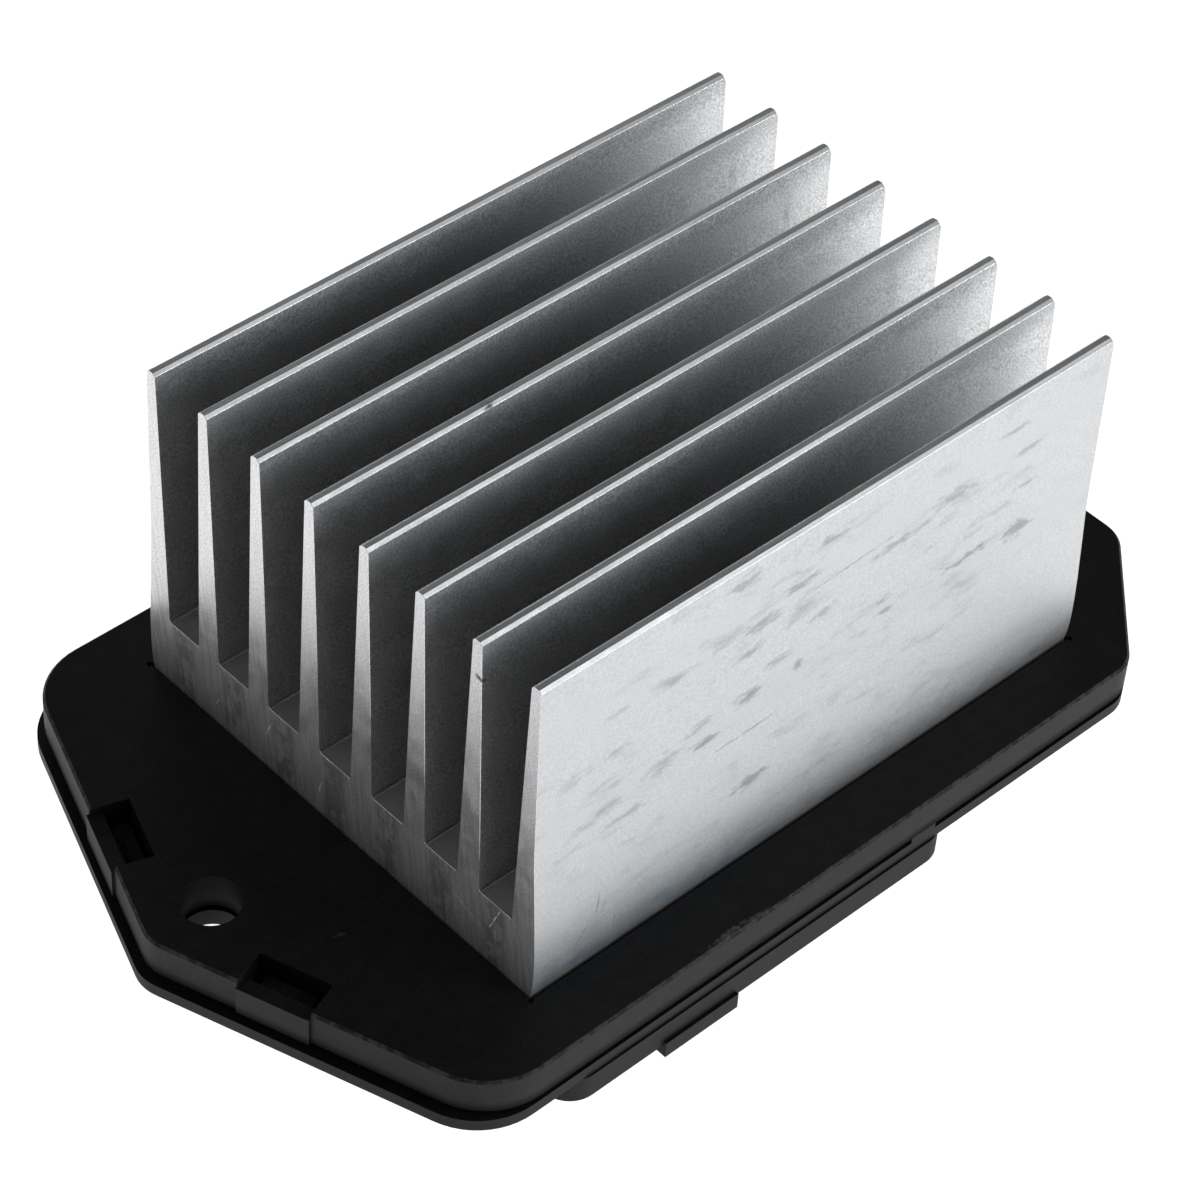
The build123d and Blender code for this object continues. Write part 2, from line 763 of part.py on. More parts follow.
# Smoothing capacitor, lying on the board with its leads bent down
capacitor_level = board_top + capacitor_radius
capacitor_end = capacitor_x - capacitor_length / 2
with BuildPart() as electrolytic_capacitor:
    with BuildSketch(Plane.XY.offset(capacitor_level)):
        with Locations((capacitor_x, capacitor_y)):
            Rectangle(capacitor_length, capacitor_radius, align=(Align.CENTER, Align.MIN))
        with Locations((capacitor_end + 2 * capacitor_groove, capacitor_y + capacitor_radius)):
            Rectangle(capacitor_groove, capacitor_groove, mode=Mode.SUBTRACT)
    revolve(axis=Axis((capacitor_x, capacitor_y, capacitor_level), (1, 0, 0)))
    for side in (-1, 1):
        wire_plane = Plane.XZ.offset(-capacitor_y - side * capacitor_radius / 2)
        wire_root = capacitor_end + wire_reach
        wire_foot = capacitor_end - wire_reach
        bent_leg(wire_plane, wire_root, wire_foot, capacitor_level, board_top, wire_size, wire_size)

electrolytic_capacitor.part.label = "electrolytic_capacitor"
export_step(electrolytic_capacitor.part, "parts/electrolytic_capacitor.step")


# Thermal fuse, with a wire leg at each end
fuse_level = board_top + fuse_radius
with BuildPart() as thermal_fuse:
    with BuildSketch(Plane.YZ.offset(fuse_x - fuse_length / 2)):
        with Locations((fuse_y, fuse_level)):
            Circle(fuse_radius)
    extrude(amount=fuse_length)
    for side in (-1, 1):
        wire_root = fuse_x + side * (fuse_length / 2 - wire_reach)
        wire_foot = fuse_x + side * (fuse_length / 2 + wire_reach)
        bent_leg(Plane.XZ.offset(-fuse_y), wire_root, wire_foot, fuse_level, board_top, wire_size, wire_size)

thermal_fuse.part.label = "thermal_fuse"
export_step(thermal_fuse.part, "parts/thermal_fuse.step")


# Shunt: a bridge of resistance strip standing on the board
with BuildPart() as shunt_resistor:
    with BuildSketch(Plane.XZ.offset(-shunt_y)):
        with BuildLine():
            strip = FilletPolyline(
                (shunt_x - shunt_length / 2, board_top),
                (shunt_x - shunt_length / 2, board_top + shunt_height),
                (shunt_x + shunt_length / 2, board_top + shunt_height),
                (shunt_x + shunt_length / 2, board_top),
                radius=2 * shunt_thickness,
            )
            offset(strip, amount=shunt_thickness / 2, side=Side.LEFT)
        make_face()
    extrude(amount=shunt_width / 2, both=True)

shunt_resistor.part.label = "shunt_resistor"
export_step(shunt_resistor.part, "parts/shunt_resistor.step")


# Control chip with two rows of legs
with BuildPart() as control_chip:
    with BuildSketch(Plane.XY.offset(board_top + small_clearance)):
        with Locations((chip_x, chip_y)):
            Rectangle(chip_length, chip_width)
    extrude(amount=chip_height)
    chamfer(control_chip.faces().sort_by(Axis.Z)[-1].edges(), small_clearance * 2)
    with BuildSketch(Plane.XY.offset(board_top)):
        with Locations((chip_x, chip_y)):
            with GridLocations(chip_leg_pitch, 1, 4, 1):
                Rectangle(chip_leg_width, chip_width + 2 * chip_leg)
    extrude(amount=chip_height / 2)

control_chip.part.label = "control_chip"
export_step(control_chip.part, "parts/control_chip.step")


# Suppressor diode with folded end terminals
with BuildPart() as suppressor_diode:
    with BuildSketch(Plane.XY.offset(board_top)):
        with Locations((diode_x, diode_y)):
            Rectangle(diode_length, diode_width)
    extrude(amount=diode_height, taper=diode_draft)
    with BuildSketch(Plane.XY.offset(board_top)):
        with Locations((diode_x, diode_y)):
            Rectangle(diode_length + chip_leg, diode_width / 2)
    extrude(amount=diode_height / 2)

suppressor_diode.part.label = "suppressor_diode"
export_step(suppressor_diode.part, "parts/suppressor_diode.step")


# Ceramic chip capacitors and chip resistors, each kind in a row
with BuildPart() as chip_capacitors:
    with BuildSketch(Plane.XY.offset(board_top)):
        with Locations((small_x, small_y)):
            with GridLocations(chip_pitch, 1, 4, 1):
                Rectangle(small_width, small_length)
    extrude(amount=small_height)
    chamfer(chip_capacitors.faces().group_by(Axis.Z)[-1].edges(), small_clearance)

chip_capacitors.part.label = "chip_capacitors"
export_step(chip_capacitors.part, "parts/chip_capacitors.step")

with BuildPart() as chip_resistors:
    with BuildSketch(Plane.XY.offset(board_top)):
        with Locations((small_x, small_y - small_row)):
            with GridLocations(chip_pitch, 1, 4, 1):
                Rectangle(chip_resistor_width, chip_resistor_length)
    extrude(amount=small_height / 2)

chip_resistors.part.label = "chip_resistors"
export_step(chip_resistors.part, "parts/chip_resistors.step")
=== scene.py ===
import math
import bpy
from mathutils import Euler, Matrix, Vector


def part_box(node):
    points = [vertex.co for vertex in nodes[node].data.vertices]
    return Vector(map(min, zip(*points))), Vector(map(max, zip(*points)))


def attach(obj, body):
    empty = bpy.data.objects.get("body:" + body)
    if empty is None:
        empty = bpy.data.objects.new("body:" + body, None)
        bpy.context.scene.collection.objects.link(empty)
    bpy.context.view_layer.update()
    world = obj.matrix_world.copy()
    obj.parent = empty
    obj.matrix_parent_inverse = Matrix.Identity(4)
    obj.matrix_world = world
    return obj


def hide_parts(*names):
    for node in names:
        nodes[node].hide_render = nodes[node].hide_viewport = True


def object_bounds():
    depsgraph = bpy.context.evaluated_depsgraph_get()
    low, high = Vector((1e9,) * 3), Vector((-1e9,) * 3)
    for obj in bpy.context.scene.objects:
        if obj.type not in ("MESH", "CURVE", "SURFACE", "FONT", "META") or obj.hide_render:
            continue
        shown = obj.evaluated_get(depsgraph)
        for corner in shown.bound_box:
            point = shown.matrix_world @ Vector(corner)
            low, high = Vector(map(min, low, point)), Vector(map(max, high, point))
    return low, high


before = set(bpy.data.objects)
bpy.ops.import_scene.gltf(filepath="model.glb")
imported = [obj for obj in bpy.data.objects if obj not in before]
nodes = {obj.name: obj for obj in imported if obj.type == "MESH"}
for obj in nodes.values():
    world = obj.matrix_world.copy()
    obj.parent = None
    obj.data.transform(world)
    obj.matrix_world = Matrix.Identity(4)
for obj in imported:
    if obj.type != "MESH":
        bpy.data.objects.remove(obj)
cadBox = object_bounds()
print("frame loaded:", len(nodes), "nodes")

mm = 0.001


# small helpers for selecting and running operators

def deselectAll():
    if bpy.context.mode != "OBJECT":
        bpy.ops.object.mode_set(mode="OBJECT")
    bpy.ops.object.select_all(action="DESELECT")


def makeActive(piece):
    deselectAll()
    piece.select_set(True)
    bpy.context.view_layer.objects.active = piece


def applyModifiers(piece):
    makeActive(piece)
    for modifier in list(piece.modifiers):
        bpy.ops.object.modifier_apply(modifier=modifier.name)


def placeInMesh(piece):
    makeActive(piece)
    bpy.ops.object.transform_apply(location=True, rotation=True, scale=True)


# how the large pieces' meshes are cleaned and their edges broken
meshLook = {
    "weld": 0.002 * mm,
    "flatWithin": math.radians(0.6),  # faces this close to one plane become one face
    "smoothUpTo": math.radians(30),
    "cornersFrom": math.radians(28),  # edges that turn more than this are rounded
    "segments": 2,
}


# a copy of a node's mesh, merged back to whole faces
def mergedCopy(node, name):
    look = meshLook
    source = nodes[node]
    piece = bpy.data.objects.new(name, source.data.copy())
    bpy.context.scene.collection.objects.link(piece)
    makeActive(piece)
    bpy.ops.object.mode_set(mode="EDIT")
    bpy.ops.mesh.select_all(action="SELECT")
    bpy.ops.mesh.remove_doubles(threshold=look["weld"])
    bpy.ops.mesh.customdata_custom_splitnormals_clear()
    bpy.ops.mesh.dissolve_limited(angle_limit=look["flatWithin"], use_dissolve_boundaries=False)
    bpy.ops.mesh.normals_make_consistent(inside=False)
    bpy.ops.object.mode_set(mode="OBJECT")
    return piece


def softenEdges(piece, width):
    look = meshLook
    makeActive(piece)
    bpy.ops.object.shade_smooth_by_angle(angle=look["smoothUpTo"])
    soften = piece.modifiers.new("brokenEdges", "BEVEL")
    soften.width = width
    soften.segments = look["segments"]
    soften.limit_method = "ANGLE"
    soften.angle_limit = look["cornersFrom"]
    soften.use_clamp_overlap = True
    soften.miter_outer = "MITER_ARC"
    soften.harden_normals = True  # broad faces stay flat beside their rounded edges
    applyModifiers(piece)


# the fins' tips are worn round at their far ends
def roundTipEnds(piece, top, look):
    makeActive(piece)
    far = max(corner[0] for corner in piece.bound_box)
    bpy.ops.object.mode_set(mode="EDIT")
    bpy.ops.mesh.select_mode(type="EDGE")
    bpy.ops.mesh.select_all(action="DESELECT")
    bpy.ops.object.mode_set(mode="OBJECT")
    vertices = piece.data.vertices
    for edge in piece.data.edges:
        places = [vertices[index].co for index in edge.vertices]
        atTip = all(place.z > top - look["tipDepth"] for place in places)
        atFar = all(place.x > far - look["touching"] for place in places)
        edge.select = atTip and atFar
    radius, segments = look["tipEnd"], look["tipSegments"]
    bpy.ops.object.mode_set(mode="EDIT")
    bpy.ops.mesh.bevel(offset=radius, segments=segments, affect="EDGES", clamp_overlap=True)
    bpy.ops.object.mode_set(mode="OBJECT")


def finishPiece(piece, material, replaced):
    piece.data.materials.clear()
    piece.data.materials.append(material)
    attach(piece, "root")
    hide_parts(replaced)


# shader building blocks

def newMaterial(name):
    material = bpy.data.materials.new(name)
    material.use_nodes = True
    tree = material.node_tree
    shader = tree.nodes["Principled BSDF"]
    return material, tree, shader


def addNode(tree, kind, **values):
    node = tree.nodes.new(kind)
    for key, value in values.items():
        setattr(node, key, value)
    return node


def fillSocket(tree, socket, value):
    if isinstance(value, bpy.types.NodeSocket):
        tree.links.new(value, socket)
    else:
        socket.default_value = value


def mathNode(tree, operation, a, b=None, clamp=False):
    node = addNode(tree, "ShaderNodeMath", operation=operation, use_clamp=clamp)
    fillSocket(tree, node.inputs[0], a)
    if b is not None:
        fillSocket(tree, node.inputs[1], b)
    return node.outputs[0]


# one operation over several values, in their order
def combine(tree, operation, *values):
    total = values[0]
    for value in values[1:]:
        total = mathNode(tree, operation, total, value)
    return total


# carries a value from one span to another and holds it at both ends
def mapRange(tree, value, span, reach=(0.0, 1.0), smooth=True):
    node = addNode(tree, "ShaderNodeMapRange", clamp=True)
    node.interpolation_type = "SMOOTHSTEP" if smooth else "LINEAR"
    tree.links.new(value, node.inputs["Value"])
    for key, number in zip(("From Min", "From Max", "To Min", "To Max"), (*span, *reach)):
        node.inputs[key].default_value = number
    return node.outputs["Result"]


def mixColour(tree, mask, a, b):
    node = addNode(tree, "ShaderNodeMix", data_type="RGBA")
    tree.links.new(mask, node.inputs[0])
    for index, value in ((6, a), (7, b)):
        fillSocket(tree, node.inputs[index], (*value, 1) if isinstance(value, tuple) else value)
    return node.outputs[2]


def mixFloat(tree, mask, a, b):
    node = addNode(tree, "ShaderNodeMix")
    tree.links.new(mask, node.inputs[0])
    fillSocket(tree, node.inputs[2], a)
    fillSocket(tree, node.inputs[3], b)
    return node.outputs[0]


def noiseOn(tree, vector, scale, detail, roughness):
    node = addNode(tree, "ShaderNodeTexNoise")
    for key, value in (("Vector", vector), ("Scale", scale), ("Detail", detail), ("Roughness", roughness)):
        fillSocket(tree, node.inputs[key], value)
    return node.outputs[0]


def axesOf(tree, vector):
    node = addNode(tree, "ShaderNodeSeparateXYZ")
    tree.links.new(vector, node.inputs[0])
    return node.outputs


def mapped(tree, vector, turn, scale=(1.0, 1.0, 1.0)):
    node = addNode(tree, "ShaderNodeMapping")
    tree.links.new(vector, node.inputs["Vector"])
    node.inputs["Rotation"].default_value = turn
    node.inputs["Scale"].default_value = scale
    return node.outputs[0]


def objectCoords(tree):
    node = addNode(tree, "ShaderNodeTexCoord")
    return node.outputs["Object"], node.outputs["Normal"]


def addBump(tree, shader, height, strength, distance):
    bump = addNode(tree, "ShaderNodeBump")
    bump.inputs["Strength"].default_value = strength
    bump.inputs["Distance"].default_value = distance
    tree.links.new(height, bump.inputs["Height"])
    tree.links.new(bump.outputs["Normal"], shader.inputs["Normal"])


# the nodes stand in columns, each one left of all that it feeds
def arrangeNodes(tree, columnWidth=220, rowHeight=190):
    column = {node.name: 0 for node in tree.nodes}
    moved = True
    while moved:
        moved = False
        for link in tree.links:
            source, target = link.from_node.name, link.to_node.name
            if column[source] <= column[target]:
                column[source] = column[target] + 1
                moved = True
    filled = {}
    for node in tree.nodes:
        across = column[node.name]
        row = filled.get(across, 0)
        filled[across] = row + 1
        node.location = (-columnWidth * across, -rowHeight * row)


# the groups' own settings; a noise is given by its scale, detail and roughness
groupLook = {
    "speckleDetail": 3.0,
    "mottleDetail": 2.0,
    "mottleShare": 0.12,  # of the speckle's scale
    "grainRoughness": 0.5,
    "streakDetail": 3.0,
    "streakRoughness": 0.6,
    "raggedness": 5.0,  # how far noise breaks up a smudge's outline
    "raggedMiddle": 0.5,
    "outline": (0.15, 1.45),
}


def newGroup(name, vectors, numbers, results):
    group = bpy.data.node_groups.new(name, "ShaderNodeTree")
    for names, direction, kind in (
        (vectors, "INPUT", "NodeSocketVector"),
        (numbers, "INPUT", "NodeSocketFloat"),
        (results, "OUTPUT", "NodeSocketFloat"),
    ):
        for socketName in names:
            group.interface.new_socket(socketName, in_out=direction, socket_type=kind)
    start = group.nodes.new("NodeGroupInput")
    end = group.nodes.new("NodeGroupOutput")
    return group, start.outputs, end.inputs


def placeGroup(tree, group, **values):
    node = addNode(tree, "ShaderNodeGroup", node_tree=group)
    for key, value in values.items():
        fillSocket(tree, node.inputs[key], value)
    return node.outputs


# fine grain: two sizes of speckle that any material may use for colour, gloss and relief
def buildGrain():
    look = groupLook
    group, given, result = newGroup("fineGrain", ["Vector"], ["Size"], ["Speckle", "Mottle"])
    large = mathNode(group, "MULTIPLY", given["Size"], look["mottleShare"])
    rough = look["grainRoughness"]
    speckle = noiseOn(group, given["Vector"], given["Size"], look["speckleDetail"], rough)
    mottle = noiseOn(group, given["Vector"], large, look["mottleDetail"], rough)
    group.links.new(speckle, result["Speckle"])
    group.links.new(mottle, result["Mottle"])
    arrangeNodes(group)
    return group


# streaks: noise drawn out along one axis, as a die or a saw leaves it
def buildStreaks():
    look = groupLook
    group, given, result = newGroup("drawnStreaks", ["Vector", "Stretch"], ["Size"], ["Streak"])
    drawn = addNode(group, "ShaderNodeVectorMath", operation="MULTIPLY")
    group.links.new(given["Vector"], drawn.inputs[0])
    group.links.new(given["Stretch"], drawn.inputs[1])
    streak = noiseOn(group, drawn.outputs[0], given["Size"], look["streakDetail"], look["streakRoughness"])
    group.links.new(streak, result["Streak"])
    arrangeNodes(group)
    return group


# a smudge: an oval patch whose outline is broken up by the noise that comes in as Ragged
def buildSmudge():
    look = groupLook
    group, given, result = newGroup(
        "smudgePatch", ["Vector", "Centre", "Turn", "Reach"], ["Ragged"], ["Mask"]
    )
    shifted = addNode(group, "ShaderNodeVectorMath", operation="SUBTRACT")
    turned = addNode(group, "ShaderNodeVectorRotate", rotation_type="EULER_XYZ")
    sized = addNode(group, "ShaderNodeVectorMath", operation="DIVIDE")
    size = addNode(group, "ShaderNodeVectorMath", operation="LENGTH")
    for source, target in (
        (given["Vector"], shifted.inputs[0]),
        (given["Centre"], shifted.inputs[1]),
        (shifted.outputs[0], turned.inputs["Vector"]),
        (given["Turn"], turned.inputs["Rotation"]),
        (turned.outputs[0], sized.inputs[0]),
        (given["Reach"], sized.inputs[1]),
        (sized.outputs[0], size.inputs[0]),
    ):
        group.links.new(source, target)
    uneven = mathNode(group, "SUBTRACT", given["Ragged"], look["raggedMiddle"])
    rough = mathNode(group, "MULTIPLY", uneven, look["raggedness"])
    total = mathNode(group, "ADD", size.outputs["Value"], rough)
    group.links.new(mapRange(group, total, look["outline"], (1.0, 0.0)), result["Mask"])
    arrangeNodes(group)
    return group


grainGroup = buildGrain()
streakGroup = buildStreaks()
smudgeGroup = buildSmudge()


# every mark has a centre and a reach along its own axes in mm, a turn in degrees and a strength
def addSmudges(tree, coords, ragged, marks):
    masks = []
    for centre, reach, turn, strength in marks:
        patch = placeGroup(
            tree, smudgeGroup, Vector=coords, Ragged=ragged,
            Turn=tuple(math.radians(v) for v in turn),
            Centre=tuple(v * mm for v in centre),
            Reach=tuple(v * mm for v in reach),
        )
        masks.append(mathNode(tree, "MULTIPLY", patch["Mask"], strength))
    return combine(tree, "MAXIMUM", *masks)


# heat sink: mill-finished aluminium, sawn at both ends
# a noise is given by its scale, detail and roughness; a Span is the part of a noise that is used,
# a Facing how squarely a face looks along an axis, and a Reach the values at the two ends of a span
sinkLook = {
    "bright": (0.648, 0.653, 0.660),
    "smudge": (0.33, 0.34, 0.36),
    "bloom": (0.40, 0.52, 0.66),  # bluish film low on the flank
    "sawn": (0.70, 0.70, 0.71),
    "sawnDark": (0.34, 0.34, 0.35),
    "scratched": (0.92, 0.93, 0.95),
    "dentShade": (0.06, 0.06, 0.06),
    "endFacing": (0.6, 0.8),
    "wallFacing": (0.7, 0.9),
    "tipFacing": (0.5, 0.65),
    "edgeFacing": (0.97, 0.92),  # no axis is faced squarely on a rounded edge
    "chamferFacing": math.sqrt(0.5),  # the tips' chamfers lean 45 degrees
    "chamferSpan": (0.04, 0.09),
    "flankStart": (24.2 * mm, 24.6 * mm),  # distance from the middle; heights are from the plate's top
    "lowHeight": (9.0 * mm, 1.0 * mm),
    "tipHeight": (20.0 * mm, 30.0 * mm),
    "underTipHeight": (32.0 * mm, 35.6 * mm),
    "pitch": 6.85 * mm,
    "belowChannels": (-0.3, 1.0),  # of a wave with its crests below the channels
    "baseHeight": (9.0 * mm, 6.5 * mm),
    "lineHeight": (20.0 * mm, 9.0 * mm),
    "lineReach": (0.16, 0.55),
    "filmAlong": (6.0 * mm, -12.0 * mm),
    "filmStrength": 0.20,
    "wallShadeAlong": (-14.0 * mm, -32.0 * mm),  # painted shade: the channels' walls are darkened towards the near end
    "wallShadeReach": (1.0, 0.72),
    "grainSize": 5200.0,
    "grainSpan": (0.3, 0.7),
    "flankGrain": (0.87, 1.07),
    "wallGrain": (0.72, 1.42),
    "endGrain": 0.6,  # share of the walls' grain that the sawn ends have
    "dieSize": 2600.0,
    "dieStretch": (0.03, 1.0, 1.0),
    "dieSpan": (0.35, 0.65),
    "dieReach": (0.80, 1.10),
    "sawSize": 2400.0,
    "sawStretch": (1.0, 1.0, 0.07),
    "sawLean": math.radians(7),
    "sawSpan": (0.36, 0.64),
    "smearStretch": (0.40, 1.0, 1.20),
    "smearLean": math.radians(-2),
    "smearStrength": 0.8,
    "blotch": (480.0, 5.0, 0.68),
    "blotchSpan": (0.48, 0.72),
    "blotchReach": (0.0, 0.60),
    "patch": (120.0, 1.0, 0.5),
    "patchSpan": (0.38, 0.60),
    "ragged": (1700.0, 5.0, 0.7),
    "cloud": (620.0, 3.0, 0.6),
    "cloudSpan": (0.38, 0.60),
    "cloudReach": (0.0, 0.80),
    "roughness": 0.47,
    "smearRoughness": 0.10,  # added where it is smeared, low on the piece and just below the tips
    "lowRoughness": 0.12,
    "underTips": 0.22,
    "mottleRoughness": (-0.03, 0.04),
    "sawnRoughness": 0.335,
    "lineRoughness": 0.02,
    "cloudGlossSpan": (0.35, 0.65),
    "cloudRoughness": (-0.025, 0.035),
    "edgeRoughness": 0.17,
    "skinHeight": (17.0 * mm, 3.0 * mm),
    "dullSkin": 0.24,
    "scratchSkin": 0.6,
    "relief": 0.10,
    "reliefDepth": 0.01 * mm,
}
flankSmudges = [  # centre x and z, reach along and up, strength
    (-6.2, 19.8, 1.6, 0.60, 0.95),
    (-10.9, 17.6, 1.7, 0.50, 0.95),
    (-11.6, 19.9, 1.5, 0.50, 0.60),
    (-5.5, 9.5, 1.8, 0.60, 1.00),
    (-16.0, 18.2, 1.5, 1.00, 0.60),
    (-22.1, 17.3, 1.6, 0.50, 0.60),
    (-20.0, 15.0, 1.7, 0.45, 0.65),
    (-21.4, 23.2, 1.2, 0.45, 0.55),
    (-21.2, 27.8, 1.2, 0.35, 0.45),
    (-15.2, 27.4, 1.4, 0.45, 0.70),
    (-5.6, 27.6, 2.0, 0.65, 0.75),
    (-6.6, 25.1, 1.6, 0.50, 0.75),
    (-8.0, 33.6, 1.6, 0.70, 0.70),
    (-1.2, 29.4, 2.0, 0.45, 0.80),
    (-3.2, 21.9, 1.4, 0.40, 0.75),
    (-0.6, 19.9, 0.7, 0.45, 0.95),
    (2.4, 32.4, 1.3, 0.50, 0.80),
    (2.0, 24.3, 1.4, 0.50, 0.60),
    (9.3, 21.1, 1.0, 0.40, 0.70),
    (9.9, 19.5, 0.9, 0.40, 0.80),
    (10.9, 27.1, 3.4, 0.40, 0.75),
    (17.4, 28.4, 2.8, 0.75, 0.75),
    (20.0, 19.8, 2.2, 0.45, 0.95),
    (26.5, 19.3, 1.6, 0.90, 0.95),
    (24.1, 31.8, 1.5, 0.30, 0.60),
    (26.7, 28.6, 1.8, 0.40, 0.60),
    (26.8, 24.3, 1.2, 0.30, 0.60),
]
flankScratches = [  # centre x and z, half length and slant from level
    (-22.9, 6.7, 1.3, 82),
    (-22.2, 6.0, 0.8, 76),
    (-24.6, 4.0, 1.1, 58),
    (-20.9, 3.2, 0.7, 84),
    (-6.0, 15.6, 3.6, 1),
    (-0.5, 29.2, 2.2, 8),
    (5.5, 28.0, 4.2, 3),
]
blueStains = [  # centre x and z, and reach, low on the flank
    (-15.4, 2.0, (1.5, 3.0, 0.9)),
    (-7.5, 1.0, (2.6, 3.0, 0.5)),
    (-25.0, 1.2, (2.0, 3.0, 0.7)),
]
sawnScratches = [  # centre y and z, half length and slant from level, on the sawn end below the channels
    (-16.7, 4.1, 2.0, -21),
    (-5.6, 8.1, 0.9, -4),
    (9.0, 4.6, 1.2, 70),
    (2.0, 3.0, 1.5, 76),
    (-20.5, 5.5, 1.7, 68),
    (16.0, 2.6, 1.0, 62),
]
dentShadeSpots = [(-10.9, 3.0, 35.5), (-30.0, -17.4, 31.8)]  # dents on a tip and on a sawn end, shown as small spots of painted shade
channelStains = [  # centre x, y and z of the upright streaks near the fins' far ends
    (30.8, 16.6, 31.2),
    (30.9, 9.7, 30.6),
    (30.3, -4.0, 30.8),
]
markLook = {  # what the marks of each kind share, in mm and degrees
    "flank": -24.9,  # y of the outer flank
    "flankDepth": 3.0,
    "smudgeLean": 2,
    "scratchWidth": 0.10,
    "scratchStrength": 0.90,
    "blueStrength": 0.75,
    "channelReach": (0.5, 1.5, 2.6),
    "channelLean": 3,
    "channelStrength": 0.30,
    "end": -30.0,  # x near the sawn end
    "endDepth": 0.6,
    "endScratchWidth": 0.065,
    "endScratchStrength": 1.0,
    "nickReach": (0.5, 0.5, 0.3),
    "nickStrength": 0.9,
}


# masks for where the ends, flanks, channel walls and low parts are
def sinkPlaces(tree):
    look = sinkLook
    coords, normal = objectCoords(tree)
    facing, place = axesOf(tree, normal), axesOf(tree, coords)
    ends = mapRange(tree, mathNode(tree, "ABSOLUTE", facing["X"]), look["endFacing"])
    outer = mapRange(tree, mathNode(tree, "ABSOLUTE", place["Y"]), look["flankStart"])
    across = mapRange(tree, mathNode(tree, "ABSOLUTE", facing["Y"]), look["wallFacing"])
    inner = mathNode(tree, "MULTIPLY", across, mathNode(tree, "SUBTRACT", 1.0, outer))
    low = mapRange(tree, place["Z"], look["lowHeight"])
    return {
        "coords": coords, "facing": facing, "place": place,
        "ends": ends, "outer": outer, "inner": inner, "low": low,
    }


# every noise that the heat sink's material uses
def sinkPatterns(tree, coords):
    look = sinkLook
    grain = placeGroup(tree, grainGroup, Vector=coords, Size=look["grainSize"])
    die = placeGroup(tree, streakGroup, Vector=coords, Stretch=look["dieStretch"], Size=look["dieSize"])
    leaning = mapped(tree, coords, (look["sawLean"], 0, 0))
    saw = placeGroup(tree, streakGroup, Vector=leaning, Stretch=look["sawStretch"], Size=look["sawSize"])
    smeared = mapped(tree, coords, (0, look["smearLean"], 0), look["smearStretch"])
    return {
        "speckle": grain["Speckle"],
        "mottle": grain["Mottle"],
        "die": die["Streak"],
        "sawLine": mapRange(tree, saw["Streak"], look["sawSpan"], smooth=False),
        "blotch": noiseOn(tree, smeared, *look["blotch"]),
        "patch": noiseOn(tree, smeared, *look["patch"]),
        "ragged": noiseOn(tree, smeared, *look["ragged"]),
        "cloud": noiseOn(tree, coords, *look["cloud"]),
    }


# smears left by handling, drawn out along the fins, with single marks at chosen places
def sinkSmears(tree, at, pattern):
    look, mark = sinkLook, markLook
    blotches = mapRange(tree, pattern["blotch"], look["blotchSpan"], look["blotchReach"])
    patches = mapRange(tree, pattern["patch"], look["patchSpan"])
    flank, depth = mark["flank"], mark["flankDepth"]
    marks = [
        ((x, flank, z), (along, depth, up), (0, mark["smudgeLean"], 0), strength)
        for x, z, along, up, strength in flankSmudges
    ]
    marks += [
        (centre, mark["channelReach"], (0, mark["channelLean"], 0), mark["channelStrength"])
        for centre in channelStains
    ]
    marks += [
        ((x, flank, z), (half, depth, mark["scratchWidth"]), (0, slant, 0), mark["scratchStrength"])
        for x, z, half, slant in flankScratches
    ]
    handled = addSmudges(tree, at["coords"], pattern["ragged"], marks)
    return mathNode(tree, "MAXIMUM", combine(tree, "MULTIPLY", blotches, patches, at["outer"]), handled)


def flankTone(tree, at, pattern, smears):
    look, mark = sinkLook, markLook
    near = mapRange(tree, at["place"]["X"], look["filmAlong"])
    film = combine(tree, "MULTIPLY", at["low"], near, at["outer"], look["filmStrength"])
    stains = addSmudges(tree, at["coords"], pattern["ragged"], [
        ((x, mark["flank"], z), reach, (0, 0, 0), mark["blueStrength"]) for x, z, reach in blueStains
    ])
    tone = mixColour(tree, mathNode(tree, "MAXIMUM", film, stains), look["bright"], look["bloom"])
    return mixColour(tree, mathNode(tree, "MULTIPLY", smears, look["smearStrength"]), tone, look["smudge"])


# the saw leaves fine lines, a little off upright, and dull blotches below the channels
def sawnTone(tree, at, pattern, scratches):
    look = sinkLook
    place = at["place"]
    turns = mathNode(tree, "MULTIPLY", place["Y"], 2 * math.pi / look["pitch"])
    below = mapRange(tree, mathNode(tree, "COSINE", turns), look["belowChannels"])
    base = mapRange(tree, place["Z"], look["baseHeight"])
    clouds = mapRange(tree, pattern["cloud"], look["cloudSpan"], look["cloudReach"])
    strength = mapRange(tree, place["Z"], look["lineHeight"], look["lineReach"])
    lines = mathNode(tree, "MULTIPLY", pattern["sawLine"], strength)
    dull = mathNode(tree, "ADD", combine(tree, "MULTIPLY", below, base, clouds), lines, clamp=True)
    tone = mixColour(tree, dull, look["sawn"], look["sawnDark"])
    return mixColour(tree, scratches, tone, look["scratched"])
